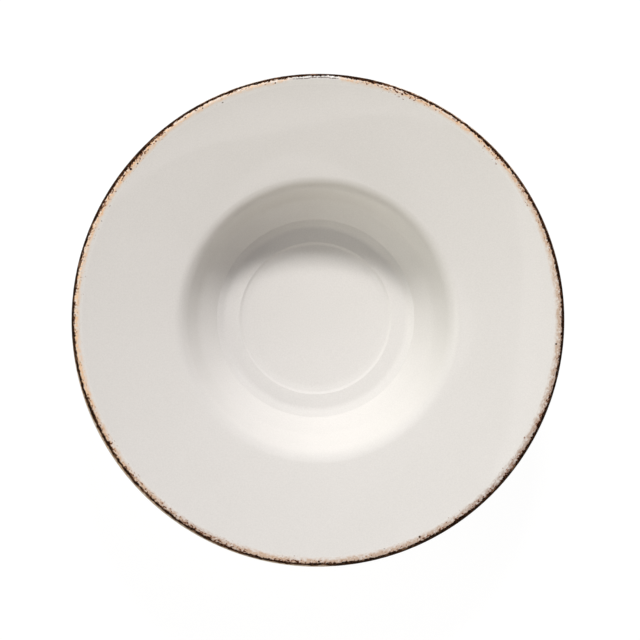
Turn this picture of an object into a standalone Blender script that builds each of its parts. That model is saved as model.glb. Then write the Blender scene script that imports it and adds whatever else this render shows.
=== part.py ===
"""A round tasting plate with a wide rim and a deep well, in metres, with +Z up.

The origin is on the plate's axis, in the plane of the foot ring's standing face. The plate is a fired clay body
and the coats that were fired on to it. All of them are turned from one outline, the plate's finished skin, which
runs from the middle of the eating face out over the lip and back underneath to the axis. The coats lie between
that skin and a parallel line under it, and the clay lies under the coats.
"""

import math

import bpy
from mathutils import Matrix, Vector

# Eating face, in metres and degrees
PLATE_RADIUS = 0.120
DISC_RADIUS = 0.0381
DISC_DISH = 0.0011
COVE_WIDTH = 0.0027
COVE_RISE = 0.00057
DISC_STEP = 0.00053
DISC_STEP_RUN = 0.0012
SHELF_WIDTH = 0.0098
SHELF_RISE = 0.0010
WALL_RUN = 0.0182
WALL_RISE = 0.0271
WALL_BOW = 0.0018
RIM_SLOPE = 14.2

# Thicknesses, over the coats
RIM_THICKNESS = 0.0046
WALL_THICKNESS = 0.0052
FLOOR_THICKNESS = 0.0055

# Foot ring
FOOT_HEIGHT = 0.0036
FOOT_INSET = 0.0028
FOOT_WIDTH = 0.0058
FOOT_TAPER = 0.0005
FOOT_RECESS = 0.0030
FOOT_WIPE = 0.0012

# Rounds of the finished skin
DISH_ROUND = 0.250
COVE_ROUND = 0.0170
STEP_ROUND = 0.0052
DISC_EDGE_ROUND = 0.0006
WALL_FOOT_ROUND = 0.0079
WALL_BOW_ROUND = 0.026
WELL_EDGE_ROUND = 0.0105
LIP_ROUND = 0.0021
UNDER_RIM_ROUND = 0.0090
BASE_ROUND = 0.0028
FOOT_ROOT_ROUND = 0.0012
FOOT_EDGE_ROUND = 0.0011
RECESS_ROUND = 0.0015

# Coats
GLAZE_THICKNESS = 0.0004
COAT_GAP = 0.0001
BAND_WIDTH = 0.0052
BAND_UNDER_WIDTH = 0.0030
BAND_GAP = 0.0003

# Turning
LATHE_STEPS = 44
ARC_STEPS = 4
SMALL_ARC_STEPS = 2
BEND_STEPS = 1
ROUND_SHARE = 0.48
MERGE_DISTANCE = 0.000001

# Finishes: linear colour and roughness
CLAY_FINISH = ((0.62, 0.53, 0.43), 0.85)
GLAZE_FINISH = ((0.78, 0.75, 0.70), 0.20)
BAND_FINISH = ((0.13, 0.060, 0.030), 0.35)


def outward(along):
    """The side of a stretch of skin that faces away from the clay."""
    return Vector((-along.y, along.x))


def crossing(point_a, along_a, point_b, along_b):
    """The point where two lines of the section meet."""
    turn = along_a.x * along_b.y - along_a.y * along_b.x
    apart = point_b - point_a
    reach = (apart.x * along_b.y - apart.y * along_b.x) / turn
    return point_a + along_a * reach


def face_corners():
    """The corners of the eating face, from the axis to the top of the lip."""
    disc_height = FOOT_RECESS + FLOOR_THICKNESS
    cove_height = disc_height + DISC_DISH
    step_height = cove_height + COVE_RISE
    shelf_height = step_height + DISC_STEP
    step_radius = DISC_RADIUS - DISC_STEP_RUN
    middle = Vector((0.0, disc_height))
    cove_begin = Vector((step_radius - COVE_WIDTH, cove_height))
    disc_bend = Vector((cove_begin.x / 2, disc_height))
    step_foot = Vector((step_radius, step_height))
    shelf_edge = Vector((DISC_RADIUS, shelf_height))
    wall_foot = Vector((DISC_RADIUS + SHELF_WIDTH, shelf_height + SHELF_RISE))
    well_edge = wall_foot + Vector((WALL_RUN, WALL_RISE))

    # Half way up, the wall is bowed out from the straight line between its foot and the well's edge
    wall_along = (well_edge - wall_foot).normalized()
    wall_bend = wall_foot.lerp(well_edge, 0.5) - outward(wall_along) * WALL_BOW

    # The lip is cut square to the rim, and its rounds reach out to the plate's radius
    slope = math.radians(RIM_SLOPE)
    lip_round = min(LIP_ROUND, RIM_THICKNESS * ROUND_SHARE)
    lip_round_reach = lip_round * (math.sin(slope) + math.cos(slope) - 1.0)
    lip_radius = PLATE_RADIUS - RIM_THICKNESS * math.sin(slope) + lip_round_reach
    lip_height = well_edge.y + (lip_radius - well_edge.x) * math.tan(slope)
    lip_top = Vector((lip_radius, lip_height))
    return middle, disc_bend, cove_begin, step_foot, shelf_edge, wall_foot, wall_bend, well_edge, lip_top


def skin_corners():
    """The corners of the whole finished skin, each with its round and the steps of its arc."""
    face = face_corners()
    middle, disc_bend, cove_begin, step_foot, shelf_edge, wall_foot, wall_bend, well_edge, lip_top = face
    low_along = (wall_bend - wall_foot).normalized()
    high_along = (well_edge - wall_bend).normalized()
    rim_along = (lip_top - well_edge).normalized()
    low_under = wall_bend - outward(low_along) * WALL_THICKNESS
    high_under = wall_bend - outward(high_along) * WALL_THICKNESS
    lip_bottom = lip_top - outward(rim_along) * RIM_THICKNESS
    foot_level = Vector((0.0, FOOT_HEIGHT))
    level = Vector((1.0, 0.0))
    under_rim = crossing(lip_bottom, rim_along, high_under, high_along)
    under_bend = crossing(high_under, high_along, low_under, low_along)
    base_edge = crossing(low_under, low_along, foot_level, level)

    # The standing face is bare clay, so the skin runs one coat below it
    skin_bottom = -(GLAZE_THICKNESS + COAT_GAP)
    foot_outside = base_edge.x - FOOT_INSET
    foot_inside = foot_outside - FOOT_WIDTH
    foot_root = Vector((foot_outside, FOOT_HEIGHT))
    foot_outer_edge = Vector((foot_outside - FOOT_TAPER, skin_bottom))
    foot_inner_edge = Vector((foot_inside + FOOT_TAPER, skin_bottom))
    recess_corner = Vector((foot_inside, FOOT_RECESS))
    recess_middle = Vector((0.0, FOOT_RECESS))

    return [
        (middle, 0.0, 0),
        (disc_bend, DISH_ROUND, BEND_STEPS),
        (cove_begin, COVE_ROUND, BEND_STEPS),
        (step_foot, STEP_ROUND, BEND_STEPS),
        (shelf_edge, DISC_EDGE_ROUND, SMALL_ARC_STEPS),
        (wall_foot, WALL_FOOT_ROUND, ARC_STEPS),
        (wall_bend, WALL_BOW_ROUND, BEND_STEPS),
        (well_edge, WELL_EDGE_ROUND, ARC_STEPS),
        (lip_top, LIP_ROUND, ARC_STEPS),
        (lip_bottom, LIP_ROUND, ARC_STEPS),
        (under_rim, UNDER_RIM_ROUND, ARC_STEPS),
        (under_bend, WALL_BOW_ROUND + WALL_THICKNESS, BEND_STEPS),
        (base_edge, BASE_ROUND, SMALL_ARC_STEPS),
        (foot_root, FOOT_ROOT_ROUND, SMALL_ARC_STEPS),
        (foot_outer_edge, FOOT_EDGE_ROUND, SMALL_ARC_STEPS),
        (foot_inner_edge, FOOT_EDGE_ROUND, SMALL_ARC_STEPS),
        (recess_corner, RECESS_ROUND, SMALL_ARC_STEPS),
        (recess_middle, 0.0, 0),
    ]


def rounded_corner(before, corner, after, radius, steps):
    """The points of one round, each with the direction that the skin faces there."""
    arriving = (corner - before).normalized()
    leaving = (after - corner).normalized()
    turn = arriving.angle_signed(leaving)
    tangent = math.tan(abs(turn) / 2)
    shortest = min((corner - before).length, (after - corner).length)
    reach = min(radius * tangent, shortest * ROUND_SHARE)
    bend = math.copysign(reach / tangent, turn)
    centre = corner - arriving * reach - outward(arriving) * bend
    points = []
    for step in range(steps + 1):
        facing = outward(arriving)
        facing.rotate(Matrix.Rotation(-turn * step / steps, 2))
        points.append((centre + facing * bend, facing))
    return points


def skin_outline():
    """The finished skin as points with the directions they face, from the top of the axis to its bottom."""
    corners = skin_corners()
    outline = [(corners[0][0], Vector((0.0, 1.0)))]
    for index in range(1, len(corners) - 1):
        before = corners[index - 1][0]
        corner, radius, steps = corners[index]
        after = corners[index + 1][0]
        outline += rounded_corner(before, corner, after, radius, steps)
    outline.append((corners[-1][0], Vector((0.0, -1.0))))
    return outline


def radius_of(point):
    """How far a point of the section is from the plate's axis."""
    return point.x


def height_of(point):
    """How far a point of the section is above the standing face."""
    return point.y


def station_where(outline, start, measure, value):
    """How many points along the skin, from a start, a measure of it first crosses a value."""
    for index in range(start, len(outline) - 1):
        near = measure(outline[index][0]) - value
        far = measure(outline[index + 1][0]) - value
        if near * far <= 0.0 and near != far:
            return index + near / (near - far)
    raise ValueError("the skin never crosses that value")


def stretch(outline, begin, end, depth):
    """The line at a depth under the skin between two stations."""
    inner_points = range(math.floor(begin) + 1, math.ceil(end))
    line = []
    for station in [begin, *inner_points, end]:
        index = min(int(station), len(outline) - 2)
        near_point, near_facing = outline[index]
        far_point, far_facing = outline[index + 1]
        near = near_point - near_facing * depth
        far = far_point - far_facing * depth
        line.append(near.lerp(far, station - index))
    return line


def finish_material(name, finish):
    """A Principled material with a colour and a roughness."""
    colour, roughness = finish
    material = bpy.data.materials.new(name)
    material.use_nodes = True
    shader = material.node_tree.nodes["Principled BSDF"]
    shader.inputs["Base Color"].default_value = (*colour, 1.0)
    shader.inputs["Roughness"].default_value = roughness
    shader.inputs["Metallic"].default_value = 0.0
    material.diffuse_color = (*colour, 1.0)
    return material


def turned_piece(name, section, closed, finish):
    """A solid turned about the plate's axis from a section that runs down its outer side."""
    points = [(point.x, 0.0, point.y) for point in section]
    edges = [(index, index + 1) for index in range(len(points) - 1)]
    if closed:
        edges.append((len(points) - 1, 0))
    mesh = bpy.data.meshes.new(name)
    mesh.from_pydata(points, edges, [])
    mesh.materials.append(finish_material(name + "_finish", finish))
    piece = bpy.data.objects.new(name, mesh)
    bpy.context.scene.collection.objects.link(piece)
    lathe = piece.modifiers.new("lathe", "SCREW")
    lathe.axis = "Z"
    lathe.angle = math.tau
    lathe.steps = LATHE_STEPS
    lathe.render_steps = LATHE_STEPS
    lathe.use_merge_vertices = True
    lathe.merge_threshold = MERGE_DISTANCE
    lathe.use_smooth_shade = True
    return piece


def main():
    for leftover in list(bpy.data.objects):
        bpy.data.objects.remove(leftover)

    outline = skin_outline()
    last = len(outline) - 1
    outermost = max(range(last), key=lambda index: outline[index][0].x)
    lowest = min(range(last), key=lambda index: outline[index][0].y)

    # Stations along the skin where one coat ends and the next begins
    half_gap = BAND_GAP / 2
    band_top = PLATE_RADIUS - BAND_WIDTH
    band_bottom = PLATE_RADIUS - BAND_UNDER_WIDTH
    face_end = station_where(outline, 0, radius_of, band_top - half_gap)
    band_begin = station_where(outline, 0, radius_of, band_top + half_gap)
    band_end = station_where(outline, outermost, radius_of, band_bottom + half_gap)
    under_begin = station_where(outline, outermost, radius_of, band_bottom - half_gap)
    under_end = station_where(outline, outermost, height_of, FOOT_WIPE)
    recess_begin = station_where(outline, lowest, height_of, FOOT_WIPE)

    def coat(begin, end):
        skin = stretch(outline, begin, end, 0.0)
        seat = stretch(outline, begin, end, GLAZE_THICKNESS)
        return skin, seat[::-1]

    clay = stretch(outline, 0, last, GLAZE_THICKNESS + COAT_GAP)
    turned_piece("clay_body", clay, False, CLAY_FINISH)

    skin, seat = coat(0, face_end)
    turned_piece("face_glaze", skin + seat, False, GLAZE_FINISH)

    skin, seat = coat(band_begin, band_end)
    turned_piece("edge_band", skin + seat, True, BAND_FINISH)

    skin, seat = coat(under_begin, under_end)
    turned_piece("underside_glaze", skin + seat, True, GLAZE_FINISH)

    skin, seat = coat(recess_begin, last)
    turned_piece("foot_recess_glaze", seat + skin, False, GLAZE_FINISH)


main()
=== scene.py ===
"""The looks of a round tasting plate: cream glaze on stoneware, with a worn brown edge, in a pale studio.

Each piece stands for the solid of the same kind. It is turned from that solid's outline in finer steps, with
two soft creases at the wall's foot, and takes the small unevenness that a plate gets in the kiln. Lengths are
in metres and angles in degrees, with +Z up.
"""

import math

import bmesh
import bpy
import numpy as np
from mathutils import Matrix, Vector, noise


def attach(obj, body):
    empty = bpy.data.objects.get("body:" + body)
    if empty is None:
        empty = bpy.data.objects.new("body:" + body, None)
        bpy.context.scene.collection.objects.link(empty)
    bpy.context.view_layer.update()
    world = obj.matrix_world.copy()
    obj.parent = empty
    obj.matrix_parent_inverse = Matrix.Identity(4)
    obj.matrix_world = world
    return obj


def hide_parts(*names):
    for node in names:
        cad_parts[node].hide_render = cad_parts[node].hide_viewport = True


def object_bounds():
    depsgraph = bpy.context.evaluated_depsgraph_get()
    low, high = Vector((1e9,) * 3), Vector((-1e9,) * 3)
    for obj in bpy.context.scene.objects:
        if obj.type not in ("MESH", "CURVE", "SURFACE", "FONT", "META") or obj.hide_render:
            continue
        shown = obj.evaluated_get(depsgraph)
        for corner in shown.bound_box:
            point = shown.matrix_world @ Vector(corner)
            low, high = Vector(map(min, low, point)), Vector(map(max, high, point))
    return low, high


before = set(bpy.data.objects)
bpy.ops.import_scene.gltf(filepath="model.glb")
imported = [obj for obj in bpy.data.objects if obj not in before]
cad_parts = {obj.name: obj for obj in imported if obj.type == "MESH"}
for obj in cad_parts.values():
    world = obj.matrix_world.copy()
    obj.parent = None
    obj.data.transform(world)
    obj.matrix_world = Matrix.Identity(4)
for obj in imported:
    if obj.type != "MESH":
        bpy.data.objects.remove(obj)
cad_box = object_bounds()

# Eating face
PLATE_RADIUS = 0.120
DISC_RADIUS = 0.0381
DISC_DISH = 0.0011
COVE_WIDTH = 0.0027
COVE_RISE = 0.00057
DISC_STEP = 0.00053
DISC_STEP_RUN = 0.0012
SHELF_WIDTH = 0.0098
SHELF_RISE = 0.0010
WALL_RUN = 0.0182
WALL_RISE = 0.0271
WALL_BOW = 0.0018
WALL_BOW_PLACE = 0.5
RIM_SLOPE = 14.2

# Thicknesses, over the coats
RIM_THICKNESS = 0.0046
WALL_THICKNESS = 0.0052
FLOOR_THICKNESS = 0.0055

# Foot ring
FOOT_HEIGHT = 0.0036
FOOT_INSET = 0.0028
FOOT_WIDTH = 0.0058
FOOT_TAPER = 0.0005
FOOT_RECESS = 0.0030
FOOT_WIPE = 0.0012

# Rounds of the finished skin. The wall's foot turns in two creases, a reach to either side of its corner.
DISH_ROUND = 0.250
COVE_ROUND = 0.0170
STEP_ROUND = 0.0052
DISC_EDGE_ROUND = 0.0006
FOOT_CREASE_REACH = 0.0024
INNER_CREASE_ROUND = 0.0065
OUTER_CREASE_ROUND = 0.0010
WALL_BOW_ROUND = 0.026
WELL_EDGE_ROUND = 0.0105
LIP_ROUND = 0.0021
UNDER_RIM_ROUND = 0.0090
BASE_ROUND = 0.0028
FOOT_ROOT_ROUND = 0.0012
FOOT_EDGE_ROUND = 0.0011
RECESS_ROUND = 0.0015
ROUND_SHARE = 0.48

# Coats
GLAZE_THICKNESS = 0.0004
COAT_GAP = 0.0001
SEAT_DEPTH = GLAZE_THICKNESS + COAT_GAP / 2
CLAY_DEPTH = GLAZE_THICKNESS + COAT_GAP
BAND_WIDTH = 0.0052
BAND_UNDER_WIDTH = 0.0030

# The bead that the glaze ends in where the foot ring was wiped: its length, the share of the glaze that it
# draws down, and how far its line strays, in waves with a count and a phase
BEAD_LENGTH = 0.0007
BEAD_DRAW = 0.9
BEAD_STRAY = 0.00025
BEAD_WAVES = ((7, 0.0), (11, 1.0), (23, 2.0))

# Fineness of the turned meshes
ARC_STEP = 2.5
RUN_STEP = 0.0025
SEAT_STRIDE = 3
CLAY_SEGMENTS = 240
COAT_SEGMENTS = 480
BAND_SEGMENTS = 960
CUT_ANGLE = 40.0
MERGE_REACH = 1e-7

# Small unevenness of a fired plate: the rim's waves, each with its count, share and phase, the rim's slump
# between two radii, the sag of the disc and the grit of the brown edge. The slump goes as x * x * (1 - x),
# whose highest value is its crest.
KILN_WARP = 0.00018
WARP_WAVES = ((2, 0.6, 0.4), (3, 0.3, 2.1), (5, 0.1, 4.4))
WARP_FREE_RADIUS = 0.050
RIM_SLUMP = 0.0003
SLUMP_RADII = (0.066, 0.118)
SLUMP_CREST = 4 / 27
DISC_SAG = 0.00012
BAND_GRIT = 0.00004
BAND_GRIT_SIZE = 0.0016

# Camera: where the photograph sees the plate's middle and how large the plate is there, in the frame's pixels
FRAME_PIXELS = 640
PLATE_PIXEL_RADIUS = 247.15
PLATE_PIXEL_MIDDLE = (319.17, 321.26)
CAMERA_DISTANCE = 1.3
CAMERA_LEAN = 3.3
CAMERA_LEAN_AZIMUTH = 142.0
SENSOR_WIDTH = 36.0

# Studio: a key strip beyond the plate, a soft fill from the left, and a pale floor
LIGHT_DISTANCE = 2.0
KEY_AZIMUTH = 88.6
KEY_ELEVATION = 37.4
KEY_SIZE = (0.58, 0.26)
KEY_STRENGTH = 0.953
KEY_COLOUR = (1.026, 1.0, 0.991)
FILL_AZIMUTH = 180.0
FILL_ELEVATION = 40.0
FILL_SIZE = (1.5, 1.5)
FILL_STRENGTH = 0.136
FILL_COLOUR = (1.022, 1.0, 0.867)
FLOOR_RADIUS = 6.0
FLOOR_SEGMENTS = 96
FLOOR_COLOUR = (0.10, 0.10, 0.10)
FLOOR_GLOW = 0.95
FLOOR_MOTTLE_SIZE = 0.02
FLOOR_MOTTLE = 1.02
FLOOR_ROUGHNESS = 0.9
FLOOR_IOR = 1.45

# Glows of the surround, each with the way to its middle, how closely it gathers there, and its colour. The
# last two are the fill as the glaze mirrors it, with no hard edge, and the light that the floor throws up.
SURROUND_GLOWS = (
    ((0.0, -1.0, 0.0), 2.0, (0.935, 0.842, 0.664)),
    ((-1.0, 0.0, 0.0), 2.0, (0.361, 0.389, 0.379)),
    ((0.0, 0.0, 1.0), 2.0, (0.093, 0.080, 0.137)),
    ((0.0, 0.0, 1.0), 8.0, (-0.062, -0.050, -0.077)),
    ((-0.766, 0.0, 0.643), 30.0, (1.226, 1.200, 1.041)),
    ((0.0, 0.0, -1.0), 2.0, (0.80, 0.78, 0.75)),
)

# Two dark round screens overhead with light beyond their edges, which the rim mirrors faintly: the way to
# each one's middle, the angle from there to its edge, and how far beyond the edge the light has faded
SCREENS = (
    ((-0.0015, 0.1807, 0.9835), 36.0, 4.0),
    ((0.3248, -0.0436, 0.9448), 40.25, 6.0),
)
SCREEN_SOFT = 0.10
SCREEN_LIGHT = (0.66, 0.64, 0.655)

# Noise: how rough it is, and the range that most of it lies in
NOISE_ROUGHNESS = 0.55
NOISE_RANGE = (0.3, 0.7)

# Cream glaze
CREAM_PALE = (0.793, 0.781, 0.752)
CREAM_DEEP = (0.784, 0.773, 0.742)
CLOUD_SIZE = 0.028
GLOSS_CLOUD_SIZE = CLOUD_SIZE / 3
GRAIN_SIZE = 0.0007
GRAIN_RANGE = (0.25, 0.75)
GRAIN_STRENGTH = 0.03
GLAZE_ROUGHNESS = (0.012, 0.030)
PEEL_SIZE = 0.0045
PEEL_HEIGHT = 0.000002
GLAZE_IOR = 1.5

# Brown edge: colours, distances along the skin from the lip's crown in millimetres, and ranges of noise
MILLIMETRES = 1000
STAIN_ROSE = (0.45, 0.37, 0.32)
# The peach is redder than the cream under it: partly the stain's tint, partly painted light on the lit lip
PEACH_STAIN_AND_PAINTED_LIGHT = (0.93, 0.62, 0.37)
SPOT_BROWN = (0.27, 0.120, 0.066)
SPOT_DARK = (0.050, 0.019, 0.010)
LINE_DARK = (0.016, 0.006, 0.0025)
LINE_BROWN = (0.095, 0.040, 0.018)
LINE_WORN = (0.30, 0.165, 0.095)
PIGMENT_IOR = 1.35
PIGMENT_GLOSS = 0.1
PIGMENT_ROUGHNESS = 0.50
BRUSH_STRETCH = 2.4
SPOT_STRETCH = 1.7
LINE_BEGIN = (-0.30, 1.10)
LINE_WIDTH = (1.00, 3.60)
LINE_WANDER = 0.20
WANDER_SIZE = 3.0
LINE_RAGGED = 0.40
RAGGED_SIZE = 1.2
LINE_SOFT = 0.22
LINE_SPOT_RANGE = (0.45, 0.68)
WORN_SIZE = 2.6
WORN_RANGE = (0.58, 0.72)
WORN_MOST = 0.8
SPOT_REACH = 2.3
SPOT_SIZE = 0.75
SPOT_PATCH_SIZE = 2.5
SPOT_PATCH_SWING = 0.07
SPOT_PLENTY = (0.16, -0.06)
SPOT_LIMIT = (0.70, 0.50)
SPOT_EDGE = (-0.06, 0.06)
SPOT_CORE = (0.02, 0.14)
SPOT_BELOW = 0.6
STAIN_REACH = (-0.45, -3.6)
STAIN_FADE = (0.8, 2.7)
STAIN_STRAY = 0.45
STAIN_STRAY_SIZE = 2.0
STAIN_PATCH_SIZE = 1.0
STAIN_PATCH_RANGE = (0.35, 0.65)
STAIN_PATCHES = (0.3, 1.35)
STAIN_BELOW = 2.4
STAIN_COVER = 1.3
STAIN_GATHER = 1.7
STROKE_PLACE = 0.05
STROKE_WANDER = 0.20
STROKE_WANDER_SIZE = 3.2
STROKE_FADE = (0.28, 0.10)
STROKE_DASH = 0.9
STROKE_GAP_EDGE = (-0.04, 0.05)
SPECK_SPACING = 3.0
SPECK_SIZE = (-0.30, 0.26)
SPECK_EDGE = (-0.02, 0.04)
SPECK_PLACES = (-2.7, -1.9, -0.3, 0.4)

# How the brush went round the rim, as azimuths with shares: the dark line's place and its width, how many
# brown spots lie beside it, the stain's strength and its turn from rose to peach, and how whole the inner
# stroke is. Near azimuth 90 the stain and the spots stop. This is partly a break in the brush's stain and
# partly a painted highlight where the key lights the lip's crown. The turn to peach is partly the stain's own
# tint and partly painted light on the side of the lip toward the key and the fill.
LINE_DRIFT = (
    (-180, 0.85), (-172, 0.70), (-162, 0.44), (-150, 0.22), (-126, 0.26), (-108, 0.43), (-90, 0.25),
    (-78, 0.47), (-66, 0.46), (-54, 0.33), (-42, 0.54), (-30, 0.46), (-18, 0.70), (6, 0.55),
    (18, 0.46), (30, 0.66), (42, 0.53), (66, 0.71), (82, 0.64), (86, 0.93), (96, 0.93),
    (100, 0.74), (114, 0.84), (138, 0.68), (152, 0.90), (165, 0.88), (180, 0.85),
)
LINE_SPREAD = (
    (-180, 0.60), (-170, 0.20), (-150, 0.08), (-132, 0.08), (-108, 0.16), (-90, 0.10), (-82, 0.60),
    (-74, 1.0), (0, 1.0), (14, 0.32), (42, 0.25), (60, 0.08), (70, 0.10), (80, 0.5),
    (90, 1.0), (98, 0.5), (106, 0.18), (116, 0.20), (126, 1.0), (170, 1.0), (180, 0.60),
)
# Near azimuth 90 the spots stop: partly a gap in the pigment, partly a painted highlight on the lip's crown
SPOT_SPREAD_AND_HIGHLIGHT_GAP = (
    (-180, 0.62), (-165, 0.55), (-155, 0.68), (-125, 0.70), (-110, 0.80), (-103, 0.50), (-98, 0.95),
    (-92, 0.50), (-80, 0.40), (-65, 0.60), (-40, 0.72), (-20, 0.75), (0, 0.45), (20, 0.40),
    (32, 0.60), (37, 0.30), (43, 0.85), (52, 0.30), (60, 0.50), (68, 0.85), (78, 0.50),
    (86, 0.05), (97, 0.05), (108, 0.30), (125, 0.45), (134, 0.80), (148, 0.80), (158, 0.62),
    (180, 0.62),
)
# Near azimuth 90 the stain is nil: partly a break in the stain, partly a painted highlight on the lip's crown
STAIN_SPREAD_AND_HIGHLIGHT_GAP = (
    (-180, 0.66), (-174, 0.72), (-162, 0.80), (-150, 0.88), (-126, 0.92), (-108, 0.98), (-90, 0.95),
    (-54, 0.92), (-30, 0.96), (-6, 0.94), (6, 0.92), (18, 0.88), (30, 0.78), (48, 0.68),
    (66, 0.66), (78, 0.60), (84, 0.54), (86, 0.0), (96, 0.0), (98, 0.48), (114, 0.50),
    (126, 0.58), (138, 0.82), (150, 0.64), (162, 0.58), (180, 0.66),
)
# Peach toward the key and the fill: partly the stain's own tint, partly painted light on the lip
STAIN_TURN_AND_PAINTED_LIGHT = (
    (-180, 0.92), (-166, 0.82), (-152, 0.58), (-138, 0.42), (-120, 0.20), (-102, 0.34), (-90, 0.28),
    (-76, 0.24), (-60, 0.17), (-42, 0.0), (-20, 0.15), (0, 0.24), (20, 0.42), (30, 0.46),
    (45, 0.80), (180, 0.92),
)
STROKE_SPREAD = ((-180, 0.20), (83, 0.20), (87, 0.60), (95, 0.60), (99, 0.20), (180, 0.20))

# Bare stoneware
CLAY_PALE = (0.66, 0.585, 0.49)
CLAY_DEEP = (0.54, 0.455, 0.36)
CLAY_FLECK = (0.20, 0.135, 0.085)
CLAY_GRAIN = 0.0009
CLAY_FLECK_SPACING = 0.0022
CLAY_FLECK_EDGE = (0.20, 0.12)
CLAY_ROUGHNESS = (0.78, 0.92)
CLAY_BUMP = 0.00006
CLAY_IOR = 1.45


def outward(along):
    """The side of a stretch of skin that faces away from the clay."""
    return Vector((-along.y, along.x))


def crossing(point_a, along_a, point_b, along_b):
    """The point where two lines of the section meet."""
    turn = along_a.x * along_b.y - along_a.y * along_b.x
    apart = point_b - point_a
    reach = (apart.x * along_b.y - apart.y * along_b.x) / turn
    return point_a + along_a * reach


def face_corners():
    """The corners of the eating face, from the axis to the top of the lip."""
    disc_height = FOOT_RECESS + FLOOR_THICKNESS
    cove_height = disc_height + DISC_DISH
    step_height = cove_height + COVE_RISE
    shelf_height = step_height + DISC_STEP
    step_radius = DISC_RADIUS - DISC_STEP_RUN
    middle = Vector((0.0, disc_height))
    cove_begin = Vector((step_radius - COVE_WIDTH, cove_height))
    disc_bend = Vector((cove_begin.x / 2, disc_height))
    step_foot = Vector((step_radius, step_height))
    shelf_edge = Vector((DISC_RADIUS, shelf_height))
    wall_foot = Vector((DISC_RADIUS + SHELF_WIDTH, shelf_height + SHELF_RISE))
    well_edge = wall_foot + Vector((WALL_RUN, WALL_RISE))
    wall_along = (well_edge - wall_foot).normalized()
    wall_bend = wall_foot.lerp(well_edge, WALL_BOW_PLACE) - outward(wall_along) * WALL_BOW

    # The lip is cut square to the rim, and its rounds reach out to the plate's radius
    slope = math.radians(RIM_SLOPE)
    lip_round = min(LIP_ROUND, RIM_THICKNESS * ROUND_SHARE)
    lip_round_reach = lip_round * (math.sin(slope) + math.cos(slope) - 1.0)
    lip_radius = PLATE_RADIUS - RIM_THICKNESS * math.sin(slope) + lip_round_reach
    lip_height = well_edge.y + (lip_radius - well_edge.x) * math.tan(slope)
    lip_top = Vector((lip_radius, lip_height))
    return middle, disc_bend, cove_begin, step_foot, shelf_edge, wall_foot, wall_bend, well_edge, lip_top


def skin_corners():
    """The corners of the whole finished skin, each with its round."""
    face = face_corners()
    shelf_edge, wall_foot, wall_bend, well_edge, lip_top = face[-5:]
    disc_rounds = (0.0, DISH_ROUND, COVE_ROUND, STEP_ROUND, DISC_EDGE_ROUND)
    shelf_along = (wall_foot - shelf_edge).normalized()
    low_along = (wall_bend - wall_foot).normalized()
    high_along = (well_edge - wall_bend).normalized()
    rim_along = (lip_top - well_edge).normalized()
    low_under = wall_bend - outward(low_along) * WALL_THICKNESS
    high_under = wall_bend - outward(high_along) * WALL_THICKNESS
    lip_bottom = lip_top - outward(rim_along) * RIM_THICKNESS
    foot_level = Vector((0.0, FOOT_HEIGHT))
    level = Vector((1.0, 0.0))
    under_rim = crossing(lip_bottom, rim_along, high_under, high_along)
    under_bend = crossing(high_under, high_along, low_under, low_along)
    base_edge = crossing(low_under, low_along, foot_level, level)

    # The standing face is bare clay, so the skin runs one coat below it
    skin_bottom = -CLAY_DEPTH
    foot_outside = base_edge.x - FOOT_INSET
    foot_inside = foot_outside - FOOT_WIDTH
    return [
        *zip(face, disc_rounds),
        (wall_foot - shelf_along * FOOT_CREASE_REACH, INNER_CREASE_ROUND),
        (wall_foot + low_along * FOOT_CREASE_REACH, OUTER_CREASE_ROUND),
        (wall_bend, WALL_BOW_ROUND),
        (well_edge, WELL_EDGE_ROUND),
        (lip_top, LIP_ROUND),
        (lip_bottom, LIP_ROUND),
        (under_rim, UNDER_RIM_ROUND),
        (under_bend, WALL_BOW_ROUND + WALL_THICKNESS),
        (base_edge, BASE_ROUND),
        (Vector((foot_outside, FOOT_HEIGHT)), FOOT_ROOT_ROUND),
        (Vector((foot_outside - FOOT_TAPER, skin_bottom)), FOOT_EDGE_ROUND),
        (Vector((foot_inside + FOOT_TAPER, skin_bottom)), FOOT_EDGE_ROUND),
        (Vector((foot_inside, FOOT_RECESS)), RECESS_ROUND),
        (Vector((0.0, FOOT_RECESS)), 0.0),
    ]


def rounded_corner(before, corner, after, radius):
    """The points of one round, each with the direction that the skin faces there."""
    arriving = (corner - before).normalized()
    leaving = (after - corner).normalized()
    turn = arriving.angle_signed(leaving)
    tangent = math.tan(abs(turn) / 2)
    shortest = min((corner - before).length, (after - corner).length)
    reach = min(radius * tangent, shortest * ROUND_SHARE)
    bend = math.copysign(reach / tangent, turn)
    centre = corner - arriving * reach - outward(arriving) * bend
    steps = math.ceil(abs(math.degrees(turn)) / ARC_STEP)
    points = []
    for step in range(steps + 1):
        facing = outward(arriving)
        facing.rotate(Matrix.Rotation(-turn * step / steps, 2))
        points.append((centre + facing * bend, facing))
    return points


def straight_run(start, end):
    """Evenly spaced points between two points of the skin, which face the same way."""
    steps = math.ceil((end[0] - start[0]).length / RUN_STEP)
    shares = [step / steps for step in range(1, steps)]
    return [(start[0].lerp(end[0], share), start[1].lerp(end[1], share)) for share in shares]


def skin_outline():
    """The finished skin as points with the directions they face, from the top of the axis to its bottom."""
    corners = skin_corners()
    outline = [(corners[0][0], Vector((0.0, 1.0)))]
    for index in range(1, len(corners) - 1):
        corner, radius = corners[index]
        arc = rounded_corner(corners[index - 1][0], corner, corners[index + 1][0], radius)
        outline += straight_run(outline[-1], arc[0]) + arc
    axis_end = (corners[-1][0], Vector((0.0, -1.0)))
    return outline + straight_run(outline[-1], axis_end) + [axis_end]


def radius_of(point):
    """A section point's distance from the axis."""
    return point.x


def height_of(point):
    """A section point's height above the floor."""
    return point.y


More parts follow.
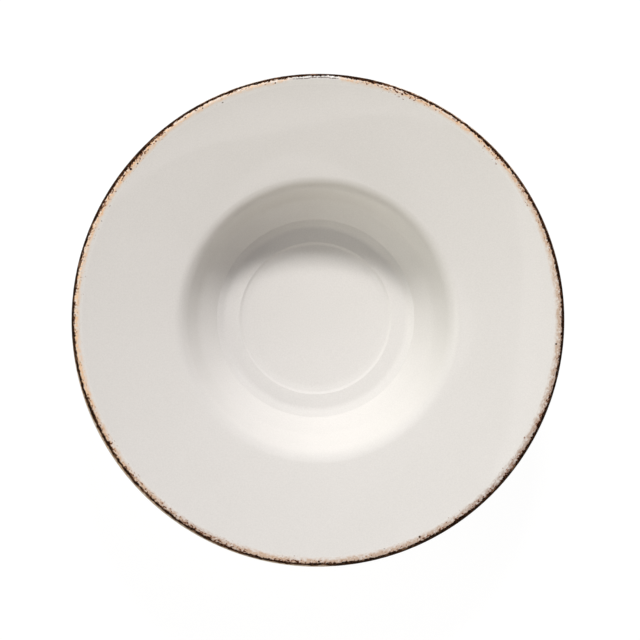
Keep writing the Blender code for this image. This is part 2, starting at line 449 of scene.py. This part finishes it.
def station_where(outline, start, measure, value):
    """How many points along the skin, from a start, a measure of it first crosses a value."""
    for index in range(start, len(outline) - 1):
        near = measure(outline[index][0]) - value
        far = measure(outline[index + 1][0]) - value
        if near * far <= 0.0 and near != far:
            return index + near / (near - far)
    raise ValueError("the skin never crosses that value")


def stations_between(begin, end, stride=1):
    """The two ends and the whole stations between them, or one in every few of those."""
    return [begin, *range(math.floor(begin) + 1, math.ceil(end), stride), end]


def at_station(outline, station, depth):
    """The point at a depth under the skin at one station, and the direction that the skin faces there."""
    index = min(int(station), len(outline) - 2)
    near_point, near_facing = outline[index]
    far_point, far_facing = outline[index + 1]
    near = near_point - near_facing * depth
    far = far_point - far_facing * depth
    share = station - index
    return near.lerp(far, share), near_facing.lerp(far_facing, share).normalized()


def lengths_along(points):
    """How far along a line of points each of them lies."""
    lengths = [0.0]
    for before, after in zip(points, points[1:]):
        lengths.append(lengths[-1] + (after - before).length)
    return np.array(lengths)


def line_at_depth(outline, stations, depth):
    """The line at a depth under the skin, at the given stations."""
    return [at_station(outline, station, depth)[0] for station in stations]


def kiln_warp(radius, turn):
    """How far the fired plate stands above its plain outline, at a radius and an angle."""
    free = np.clip((radius - WARP_FREE_RADIUS) / (PLATE_RADIUS - WARP_FREE_RADIUS), 0.0, 1.0)
    waves = sum(share * np.cos(count * turn + phase) for count, share, phase in WARP_WAVES)
    begin, end = SLUMP_RADII
    across = np.clip((radius - begin) / (end - begin), 0.0, 1.0)
    slump = RIM_SLUMP * across * across * (1.0 - across) / SLUMP_CREST
    past_step = np.clip((radius - DISC_RADIUS + DISC_STEP_RUN) / DISC_STEP_RUN, 0.0, 1.0)
    sag = DISC_SAG * (1.0 - past_step)
    return KILN_WARP * free * free * waves - slump - sag


def turn_angles(segments):
    """The angle of each segment of a turned mesh, one in each row."""
    return np.arange(segments)[:, None] * math.tau / segments


def turned_places(section, segments):
    """Where a section's points go as it turns round the axis, with the kiln's warp."""
    turn = turn_angles(segments)
    radius = np.array([point.x for point in section])[None, :]
    height = np.array([point.y for point in section])[None, :] + kiln_warp(radius, turn)
    return np.stack([radius * np.cos(turn), radius * np.sin(turn), height], axis=-1)


def turned_piece(name, places, material, through_axis):
    """A closed piece from turned places. Its section runs from axis to axis, or closes on itself."""
    segments, count = places.shape[:2]
    steps = count - 1 if through_axis else count
    faces = []
    for segment in range(segments):
        here = segment * count
        there = (segment + 1) % segments * count
        for step in range(steps):
            ahead = (step + 1) % count
            faces.append((here + step, there + step, there + ahead, here + ahead))
    mesh = bpy.data.meshes.new(name)
    mesh.from_pydata(places.reshape(-1, 3).tolist(), [], faces)
    weld_mesh(mesh)
    mesh.shade_smooth()
    mesh.set_sharp_from_angle(angle=math.radians(CUT_ANGLE))
    mesh.materials.append(material)
    piece = bpy.data.objects.new(name, mesh)
    bpy.context.scene.collection.objects.link(piece)
    shading = piece.modifiers.new("even_shading", "WEIGHTED_NORMAL")
    shading.keep_sharp = True
    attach(piece, "root")
    return piece


def weld_mesh(mesh):
    """Joins the points that meet on the axis, and turns the faces outward."""
    work = bmesh.new()
    work.from_mesh(mesh)
    bmesh.ops.remove_doubles(work, verts=work.verts, dist=MERGE_REACH)
    bmesh.ops.recalc_face_normals(work, faces=work.faces)
    work.to_mesh(mesh)
    work.free()


def stray_of_bead(turn):
    """How far the wiped edge of the glaze strays up and down at an angle."""
    return BEAD_STRAY / len(BEAD_WAVES) * sum(np.sin(count * turn + phase) for count, phase in BEAD_WAVES)


def beaded_section(outline, stations, bead_at_start):
    """A coat's skin and seat, with a bead at one end of the skin, and each point's share of the stray."""
    skin_lengths = lengths_along(line_at_depth(outline, stations, 0.0))
    from_bead = skin_lengths if bead_at_start else skin_lengths[-1] - skin_lengths
    closeness = np.clip(1.0 - from_bead / BEAD_LENGTH, 0.0, 1.0)
    drawn = BEAD_DRAW * GLAZE_THICKNESS * (1.0 - np.sqrt(1.0 - closeness * closeness))
    skin = [at_station(outline, station, depth)[0] for station, depth in zip(stations, drawn)]
    seat = line_at_depth(outline, stations, SEAT_DEPTH)
    share = np.concatenate([closeness, closeness[::-1]])
    return skin + seat[::-1], share


def beaded_places(section, share):
    """The turned places of a coat whose bead strays up and down round the foot ring."""
    places = turned_places(section, COAT_SEGMENTS)
    places[:, :, 2] += stray_of_bead(turn_angles(COAT_SEGMENTS)) * share[None, :]
    return places


def gritty_places(outline, stations):
    """The turned places of the brown edge, whose dry pigment stands a little proud of the glaze."""
    skin = line_at_depth(outline, stations, 0.0)
    seat = line_at_depth(outline, stations, SEAT_DEPTH)
    places = turned_places(skin + seat[::-1], BAND_SEGMENTS)
    from_ends = lengths_along(skin)
    from_ends = np.minimum(from_ends, from_ends[-1] - from_ends)
    fade = np.clip(from_ends / BAND_GRIT_SIZE, 0.0, 1.0)
    facings = [at_station(outline, station, 0.0)[1] for station in stations]
    for segment in range(BAND_SEGMENTS):
        turn = segment * math.tau / BAND_SEGMENTS
        for index, facing in enumerate(facings):
            place = Vector(places[segment, index])
            grit = BAND_GRIT * fade[index] * noise.noise(place / BAND_GRIT_SIZE)
            lift = Vector((facing.x * math.cos(turn), facing.x * math.sin(turn), facing.y))
            places[segment, index] = place + lift * grit
    return places


def add_node(tree, kind, sockets, **settings):
    """A node with its settings, whose input sockets are set to values or linked to other nodes' sockets."""
    made = tree.nodes.new("ShaderNode" + kind)
    for name, value in settings.items():
        setattr(made, name, value)
    for place, value in sockets.items():
        if isinstance(value, bpy.types.NodeSocket):
            tree.links.new(value, made.inputs[place])
        else:
            made.inputs[place].default_value = value
    return made


def reckon(tree, operation, *values):
    """The result of a sum on values or sockets."""
    return add_node(tree, "Math", dict(enumerate(values)), operation=operation).outputs[0]


def vector_sum(tree, operation, first, second):
    """The result of a sum on vectors or colours."""
    return add_node(tree, "VectorMath", {0: first, 1: second}, operation=operation).outputs[0]


def scaled(tree, vector, share):
    """A vector or colour times a share."""
    return add_node(tree, "VectorMath", {0: vector, "Scale": share}, operation="SCALE").outputs[0]


def ranged(tree, value, source, target, smooth=False):
    """A value brought from one range into another, straight or with eased ends."""
    sockets = {0: value, 1: source[0], 2: source[1], 3: target[0], 4: target[1]}
    kind = "SMOOTHSTEP" if smooth else "LINEAR"
    return add_node(tree, "MapRange", sockets, interpolation_type=kind).outputs[0]


def eased(tree, value, low, high):
    """A share that eases from 0 to 1 as a value passes from low to high."""
    return ranged(tree, value, (low, high), (0.0, 1.0), smooth=True)


def noise_of(tree, place, size, detail):
    """Soft noise with features of one size."""
    sockets = {"Vector": place, "Scale": 1.0 / size, "Detail": detail, "Roughness": NOISE_ROUGHNESS}
    return add_node(tree, "TexNoise", sockets).outputs["Fac"]


def swing_of(tree, place, size, reach, detail):
    """Noise that swings to either side of zero by about a reach."""
    return ranged(tree, noise_of(tree, place, size, detail), NOISE_RANGE, (-reach, reach))


def blended(tree, share, first, second):
    """Two colours mixed by a share of the second."""
    sockets = {0: share}
    for place, colour in ((6, first), (7, second)):
        sockets[place] = colour if isinstance(colour, bpy.types.NodeSocket) else (*colour, 1.0)
    return add_node(tree, "Mix", sockets, data_type="RGBA").outputs[2]


def round_rim(tree, turn_share, stops):
    """A share that changes round the rim, through stops at azimuths from -180 to 180."""
    ramp = add_node(tree, "ValToRGB", {0: turn_share})
    ramp.color_ramp.interpolation = "EASE"
    elements = ramp.color_ramp.elements
    while len(elements) < len(stops):
        elements.new(0.5)
    for element, (azimuth, share) in zip(elements, stops):
        element.position = azimuth / 360 + 0.5
        element.color = (share, share, share, 1.0)
    return ramp.outputs["Color"]


def new_material(name, ior):
    """A material's node tree, its shader and the place of each point on the piece."""
    material = bpy.data.materials.new(name)
    material.use_nodes = True
    tree = material.node_tree
    shader = tree.nodes["Principled BSDF"]
    shader.inputs["IOR"].default_value = ior
    place = add_node(tree, "TexCoord", {}).outputs["Object"]
    return material, tree, shader, place


def bumped(tree, height, distance):
    """A surface direction from a height."""
    sockets = {"Height": height, "Distance": distance, "Strength": 1.0}
    return add_node(tree, "Bump", sockets).outputs["Normal"]


def cream_colour(tree, place):
    """The cream glaze: slow clouds of tone under a fine grain."""
    clouds = noise_of(tree, place, CLOUD_SIZE, detail=3.0)
    cream = blended(tree, eased(tree, clouds, *NOISE_RANGE), CREAM_DEEP, CREAM_PALE)
    grain = noise_of(tree, place, GRAIN_SIZE, detail=1.0)
    level = ranged(tree, grain, GRAIN_RANGE, (1.0 - GRAIN_STRENGTH, 1.0 + GRAIN_STRENGTH))
    return scaled(tree, cream, level)


def glaze_finish(tree, shader, place):
    """Dimples the surface as lightly as fired glass, and gives the glaze's slightly uneven roughness."""
    clouds = noise_of(tree, place, GLOSS_CLOUD_SIZE, detail=2.0)
    roughness = ranged(tree, clouds, NOISE_RANGE, GLAZE_ROUGHNESS)
    peel = noise_of(tree, place, PEEL_SIZE, detail=2.0)
    tree.links.new(bumped(tree, peel, PEEL_HEIGHT), shader.inputs["Normal"])
    return roughness


def glaze_material():
    """Cream glaze on the face, the underside and inside the foot ring."""
    material, tree, shader, place = new_material("cream_glaze", GLAZE_IOR)
    tree.links.new(cream_colour(tree, place), shader.inputs["Base Color"])
    tree.links.new(glaze_finish(tree, shader, place), shader.inputs["Roughness"])
    return material


def rim_places(tree, place, reach, stretch):
    """Places round the rim in millimetres, drawn out along it by a stretch, with the reach as height."""
    flat = vector_sum(tree, "MULTIPLY", place, (1.0, 1.0, 0.0))
    heading = add_node(tree, "VectorMath", {0: flat}, operation="NORMALIZE").outputs[0]
    along = scaled(tree, heading, PLATE_RADIUS * MILLIMETRES / stretch)
    across = add_node(tree, "CombineXYZ", {"Z": reach}).outputs[0]
    return vector_sum(tree, "ADD", along, across)


def sum_of(tree, *values):
    """The sum of several values or sockets."""
    total = values[0]
    for value in values[1:]:
        total = reckon(tree, "ADD", total, value)
    return total


def product_of(tree, *shares):
    """The product of several shares or sockets."""
    total = shares[0]
    for share in shares[1:]:
        total = reckon(tree, "MULTIPLY", total, share)
    return total


def dark_line(tree, turn_share, reach, brushed, grainy):
    """How dark the brushed line on the lip's shoulder is, and how far past its two ends a point lies."""
    drift = ranged(tree, round_rim(tree, turn_share, LINE_DRIFT), (0.0, 1.0), LINE_BEGIN)
    width = ranged(tree, round_rim(tree, turn_share, LINE_SPREAD), (0.0, 1.0), LINE_WIDTH)
    wander = swing_of(tree, brushed, WANDER_SIZE, LINE_WANDER, detail=2.0)
    ragged = swing_of(tree, grainy, RAGGED_SIZE, LINE_RAGGED, detail=3.0)
    past_begin = reckon(tree, "SUBTRACT", reach, sum_of(tree, drift, wander, ragged))
    frayed = swing_of(tree, brushed, RAGGED_SIZE, LINE_RAGGED, detail=2.0)
    past_end = reckon(tree, "SUBTRACT", reach, sum_of(tree, drift, width, frayed))
    inside = eased(tree, past_begin, -LINE_SOFT, LINE_SOFT)
    whole = eased(tree, past_end, 2 * LINE_SOFT, -LINE_SOFT)
    return product_of(tree, inside, whole), past_begin, past_end


def line_colour(tree, brushed, grainy):
    """The line's colour: near black, brown in spots, and worn to a paler brown in short stretches."""
    spots = eased(tree, noise_of(tree, grainy, RAGGED_SIZE, detail=2.0), *LINE_SPOT_RANGE)
    whole = blended(tree, spots, LINE_DARK, LINE_BROWN)
    patches = noise_of(tree, brushed, WORN_SIZE, detail=3.0)
    worn = ranged(tree, patches, WORN_RANGE, (0.0, WORN_MOST), smooth=True)
    return blended(tree, worn, whole, LINE_WORN)


def brown_spots(tree, turn_share, past_begin, past_end, brushed, spotted):
    """The brown spots just inside the line, crowded in some places and absent in others. Near azimuth 90
    their absence partly stands for a painted highlight on the lip's crown.
    """
    plenty = ranged(tree, round_rim(tree, turn_share, SPOT_SPREAD_AND_HIGHLIGHT_GAP), (0.0, 1.0), SPOT_PLENTY)
    patch = swing_of(tree, brushed, SPOT_PATCH_SIZE, SPOT_PATCH_SWING, detail=2.0)
    near = ranged(tree, past_begin, (-SPOT_REACH, 0.0), SPOT_LIMIT)
    limit = sum_of(tree, near, patch, plenty)
    over = reckon(tree, "SUBTRACT", noise_of(tree, spotted, SPOT_SIZE, detail=2.0), limit)
    share = product_of(tree, eased(tree, over, *SPOT_EDGE), eased(tree, past_end, SPOT_BELOW, 0.0))
    return share, blended(tree, eased(tree, over, *SPOT_CORE), SPOT_BROWN, SPOT_DARK)


def stain_share(tree, turn_share, reach, past_end, brushed, mottled):
    """How strong the thin stain is that bleeds inward from the line, and a little way below it. Where it is
    nil near azimuth 90, the bare glaze partly stands for a painted highlight on the lip's crown.
    """
    strength = round_rim(tree, turn_share, STAIN_SPREAD_AND_HIGHLIGHT_GAP)
    stray = reckon(tree, "ADD", reach, swing_of(tree, brushed, STAIN_STRAY_SIZE, STAIN_STRAY, detail=3.0))
    faint = ranged(tree, strength, (0.0, 1.0), STAIN_REACH)
    fade = ranged(tree, strength, (0.0, 1.0), STAIN_FADE)
    nearness = ranged(tree, stray, (faint, reckon(tree, "ADD", faint, fade)), (0.0, 1.0))
    bleed = reckon(tree, "POWER", nearness, STAIN_GATHER)
    below = eased(tree, past_end, STAIN_BELOW, 0.0)
    mottle = noise_of(tree, mottled, STAIN_PATCH_SIZE, detail=3.0)
    patches = ranged(tree, mottle, STAIN_PATCH_RANGE, STAIN_PATCHES)
    return product_of(tree, strength, bleed, below, patches, STAIN_COVER)


def inner_stroke(tree, turn_share, reach, brushed, grainy):
    """The row of dots and short dashes that the brush's edge left inside the line."""
    wander = swing_of(tree, brushed, STROKE_WANDER_SIZE, STROKE_WANDER, detail=1.0)
    centre = reckon(tree, "ADD", wander, STROKE_PLACE)
    off_centre = reckon(tree, "ABSOLUTE", reckon(tree, "SUBTRACT", reach, centre))
    stroke = eased(tree, off_centre, *STROKE_FADE)
    wholeness = round_rim(tree, turn_share, STROKE_SPREAD)
    gaps = reckon(tree, "SUBTRACT", wholeness, noise_of(tree, grainy, STROKE_DASH, detail=2.0))
    return product_of(tree, stroke, eased(tree, gaps, *STROKE_GAP_EDGE))


def flown_specks(tree, reach, grainy):
    """The few specks of pigment that flew from the brush."""
    cells = add_node(tree, "TexVoronoi", {"Vector": grainy, "Scale": 1.0 / SPECK_SPACING})
    chance = add_node(tree, "SeparateColor", {0: cells.outputs["Color"]}).outputs[0]
    size = ranged(tree, chance, (0.0, 1.0), SPECK_SIZE)
    speck = eased(tree, reckon(tree, "SUBTRACT", size, cells.outputs["Distance"]), *SPECK_EDGE)
    inmost, inner, outer, outmost = SPECK_PLACES
    return product_of(tree, speck, eased(tree, reach, inmost, inner), eased(tree, reach, outmost, outer))


def band_material():
    """The brown edge: a ragged dark line on the lip's shoulder, with spots, specks and a stain inside it. The
    stain's peach side and its bare gap at the crown partly paint the light on the lip.
    """
    material, tree, shader, place = new_material("worn_brown_edge", PIGMENT_IOR)
    shader.inputs["Specular IOR Level"].default_value = PIGMENT_GLOSS
    reach = add_node(tree, "Attribute", {}, attribute_name="lip_reach").outputs["Fac"]
    turn_share = add_node(tree, "TexGradient", {"Vector": place}, gradient_type="RADIAL").outputs["Fac"]
    brushed = rim_places(tree, place, reach, BRUSH_STRETCH)
    spotted = rim_places(tree, place, reach, SPOT_STRETCH)
    grainy = rim_places(tree, place, reach, 1.0)
    line, past_begin, past_end = dark_line(tree, turn_share, reach, brushed, grainy)

    # The stain's gap near azimuth 90 leaves bare glaze, partly as a painted highlight on the lip's crown
    stain = stain_share(tree, turn_share, reach, past_end, brushed, spotted)
    # The tint's peach end partly paints the light on the lip toward the key and the fill
    stain_and_light_tint = blended(tree, round_rim(tree, turn_share, STAIN_TURN_AND_PAINTED_LIGHT), STAIN_ROSE, PEACH_STAIN_AND_PAINTED_LIGHT)
    colour = blended(tree, stain, cream_colour(tree, place), stain_and_light_tint)
    spots, spot_tone = brown_spots(tree, turn_share, past_begin, past_end, brushed, spotted)
    colour = blended(tree, spots, colour, spot_tone)
    colour = blended(tree, flown_specks(tree, reach, grainy), colour, SPOT_DARK)
    colour = blended(tree, inner_stroke(tree, turn_share, reach, brushed, grainy), colour, SPOT_DARK)
    colour = blended(tree, line, colour, line_colour(tree, brushed, grainy))
    tree.links.new(colour, shader.inputs["Base Color"])
    dry = ranged(tree, line, (0.0, 1.0), (0.0, PIGMENT_ROUGHNESS))
    roughness = reckon(tree, "MAXIMUM", glaze_finish(tree, shader, place), dry)
    tree.links.new(roughness, shader.inputs["Roughness"])
    return material


def clay_material():
    """Bare stoneware on the foot ring: pale, grainy, with dark flecks."""
    material, tree, shader, place = new_material("bare_stoneware", CLAY_IOR)
    grain = noise_of(tree, place, CLAY_GRAIN, detail=3.0)
    clay = blended(tree, eased(tree, grain, *NOISE_RANGE), CLAY_DEEP, CLAY_PALE)
    cells = add_node(tree, "TexVoronoi", {"Vector": place, "Scale": 1.0 / CLAY_FLECK_SPACING})
    fleck = eased(tree, cells.outputs["Distance"], *CLAY_FLECK_EDGE)
    tree.links.new(blended(tree, fleck, clay, CLAY_FLECK), shader.inputs["Base Color"])
    tree.links.new(ranged(tree, grain, NOISE_RANGE, CLAY_ROUGHNESS), shader.inputs["Roughness"])
    tree.links.new(bumped(tree, grain, CLAY_BUMP), shader.inputs["Normal"])
    return material


def floor_material():
    """A pale studio floor with a faint mottle, which glows almost white."""
    material, tree, shader, place = new_material("pale_floor", FLOOR_IOR)
    mottle = noise_of(tree, place, FLOOR_MOTTLE_SIZE, detail=2.0)
    pale = tuple(level * FLOOR_MOTTLE for level in FLOOR_COLOUR)
    tree.links.new(blended(tree, mottle, FLOOR_COLOUR, pale), shader.inputs["Base Color"])
    shader.inputs["Roughness"].default_value = FLOOR_ROUGHNESS
    shader.inputs["Emission Color"].default_value = (1.0, 1.0, 1.0, 1.0)
    shader.inputs["Emission Strength"].default_value = FLOOR_GLOW
    return material


def make_plate():
    """The five pieces of the plate, each in the place of its solid."""
    outline = skin_outline()
    last = len(outline) - 1
    heights = [point.y for point, facing in outline]
    radii = [point.x for point, facing in outline]
    crown = heights.index(max(heights))
    outermost = radii.index(max(radii))
    lowest = heights.index(min(heights))
    band_begin = station_where(outline, 0, radius_of, PLATE_RADIUS - BAND_WIDTH)
    band_end = station_where(outline, outermost, radius_of, PLATE_RADIUS - BAND_UNDER_WIDTH)
    under_end = station_where(outline, outermost, height_of, FOOT_WIPE)
    recess_begin = station_where(outline, lowest, height_of, FOOT_WIPE)
    glaze = glaze_material()

    clay = line_at_depth(outline, stations_between(0, last), CLAY_DEPTH)
    body = turned_piece("stoneware_body", turned_places(clay, CLAY_SEGMENTS), clay_material(), True)
    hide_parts("clay_body")

    skin = line_at_depth(outline, stations_between(0, band_begin), 0.0)
    seat = line_at_depth(outline, stations_between(0, band_begin, SEAT_STRIDE), SEAT_DEPTH)
    face = turned_piece("face_glaze_film", turned_places(skin + seat[::-1], COAT_SEGMENTS), glaze, True)
    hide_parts("face_glaze")

    stations = stations_between(band_begin, band_end)
    band = turned_piece("brown_edge_band", gritty_places(outline, stations), band_material(), False)
    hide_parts("edge_band")
    keep_lip_reach(band, outline, stations, crown)

    section, share = beaded_section(outline, stations_between(band_end, under_end), False)
    under = turned_piece("underside_glaze_film", beaded_places(section, share), glaze, False)
    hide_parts("underside_glaze")

    section, share = beaded_section(outline, stations_between(recess_begin, last), True)
    seat_first = section[::-1]
    recess = turned_piece("foot_recess_glaze_film", beaded_places(seat_first, share[::-1]), glaze, True)
    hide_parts("foot_recess_glaze")


def keep_lip_reach(band, outline, stations, crown):
    """Keeps each band point's distance along the skin from the lip's crown, in millimetres."""
    skin = line_at_depth(outline, stations, 0.0)
    lengths = lengths_along(skin)
    crown_length = np.interp(crown, stations, lengths)
    reach = (lengths - crown_length) * MILLIMETRES
    per_section = np.concatenate([reach, reach[::-1]])
    attribute = band.data.attributes.new("lip_reach", "FLOAT", "POINT")
    attribute.data.foreach_set("value", np.tile(per_section, BAND_SEGMENTS).astype(np.float32))


def make_floor():
    """A wide round floor, which isn't part of the plate. The surround gives the light that it throws up."""
    work = bmesh.new()
    bmesh.ops.create_circle(work, cap_ends=True, segments=FLOOR_SEGMENTS, radius=FLOOR_RADIUS)
    mesh = bpy.data.meshes.new("studio_floor")
    work.to_mesh(mesh)
    work.free()
    mesh.materials.append(floor_material())
    floor = bpy.data.objects.new("studio_floor", mesh)
    bpy.context.scene.collection.objects.link(floor)
    floor.location.z = cad_box[0].z
    floor.visible_diffuse = False
    floor.visible_glossy = False


def towards(azimuth, elevation):
    """The direction at an azimuth from +X and an elevation above the floor."""
    around = math.radians(azimuth)
    above = math.radians(elevation)
    level = math.cos(above)
    return Vector((math.cos(around) * level, math.sin(around) * level, math.sin(above)))


def make_light(name, azimuth, elevation, size, strength, colour):
    """A soft box aimed at the plate. Its strength is how bright it makes a white surface that faces it."""
    lamp = bpy.data.lights.new(name, "AREA")
    lamp.shape = "RECTANGLE"
    lamp.size, lamp.size_y = size
    lamp.energy = strength * math.pi * math.pi * LIGHT_DISTANCE * LIGHT_DISTANCE
    lamp.color = colour
    light = bpy.data.objects.new(name, lamp)
    bpy.context.scene.collection.objects.link(light)
    direction = towards(azimuth, elevation)
    light.location = direction * LIGHT_DISTANCE
    light.rotation_mode = "QUATERNION"
    light.rotation_quaternion = (-direction).to_track_quat("-Z", "Y")
    light.visible_camera = False
    return light


def nearness_to(tree, direction, heading):
    """The cosine of the angle between the direction that is looked in and a heading."""
    sockets = {0: direction, 1: heading}
    return add_node(tree, "VectorMath", sockets, operation="DOT_PRODUCT").outputs["Value"]


def surround_glow(tree, direction, heading, gather, colour):
    """The light of one glow of the surround, in the direction that is looked in."""
    nearness = nearness_to(tree, direction, heading)
    share = reckon(tree, "POWER", reckon(tree, "MAXIMUM", nearness, 0.0), gather)
    return scaled(tree, colour, share)


def screen_glow(tree, direction, heading, edge, fade):
    """The light just beyond the edge of one screen overhead, in the direction that is looked in."""
    nearness = nearness_to(tree, direction, heading)
    inside = math.cos(math.radians(edge))
    crest = math.cos(math.radians(edge + SCREEN_SOFT))
    outside = math.cos(math.radians(edge + fade))
    share = product_of(tree, eased(tree, nearness, inside, crest), eased(tree, nearness, outside, crest))
    return scaled(tree, SCREEN_LIGHT, share)


def make_surround():
    """The studio's surround, as the sum of its glows and of the light beyond the screens overhead."""
    world = bpy.data.worlds.new("studio_surround")
    bpy.context.scene.world = world
    world.use_nodes = True
    tree = world.node_tree
    direction = add_node(tree, "TexCoord", {}).outputs["Generated"]
    glows = [surround_glow(tree, direction, *glow) for glow in SURROUND_GLOWS]
    glows += [screen_glow(tree, direction, *screen) for screen in SCREENS]
    light = glows[0]
    for glow in glows[1:]:
        light = vector_sum(tree, "ADD", light, glow)
    tree.links.new(light, tree.nodes["Background"].inputs["Color"])


def make_studio():
    """The surround and two lights, which the glaze doesn't mirror, seen with a plain view transform."""
    key = make_light("key_strip", KEY_AZIMUTH, KEY_ELEVATION, KEY_SIZE, KEY_STRENGTH, KEY_COLOUR)
    fill = make_light("left_fill", FILL_AZIMUTH, FILL_ELEVATION, FILL_SIZE, FILL_STRENGTH, FILL_COLOUR)
    for light in (key, fill):
        light.visible_glossy = False
    make_surround()
    bpy.context.scene.view_settings.view_transform = "Standard"


def make_camera():
    """A camera almost straight above the plate, with the photograph's framing."""
    lip_plane = Vector((0.0, 0.0, cad_box[1].z))
    back = towards(CAMERA_LEAN_AZIMUTH, 90.0 - CAMERA_LEAN)
    right = Vector((0.0, 1.0, 0.0)).cross(back).normalized()
    up = back.cross(right)
    pixel = PLATE_RADIUS / PLATE_PIXEL_RADIUS
    half_frame = FRAME_PIXELS / 2
    aside = right * (half_frame - PLATE_PIXEL_MIDDLE[0]) * pixel
    above = up * (PLATE_PIXEL_MIDDLE[1] - half_frame) * pixel
    lens = bpy.data.cameras.new("photo_camera")
    lens.sensor_width = SENSOR_WIDTH
    lens.lens = SENSOR_WIDTH / 2 * CAMERA_DISTANCE / (half_frame * pixel)
    camera = bpy.data.objects.new("photo_camera", lens)
    bpy.context.scene.collection.objects.link(camera)
    camera.location = lip_plane + back * CAMERA_DISTANCE + aside + above
    camera.rotation_mode = "QUATERNION"
    camera.rotation_quaternion = Matrix((right, up, back)).transposed().to_quaternion()
    bpy.context.scene.camera = camera


def main():
    """Makes the scene: the camera, the plate, the floor and the studio."""
    make_camera()
    make_plate()
    make_floor()
    make_studio()


main()
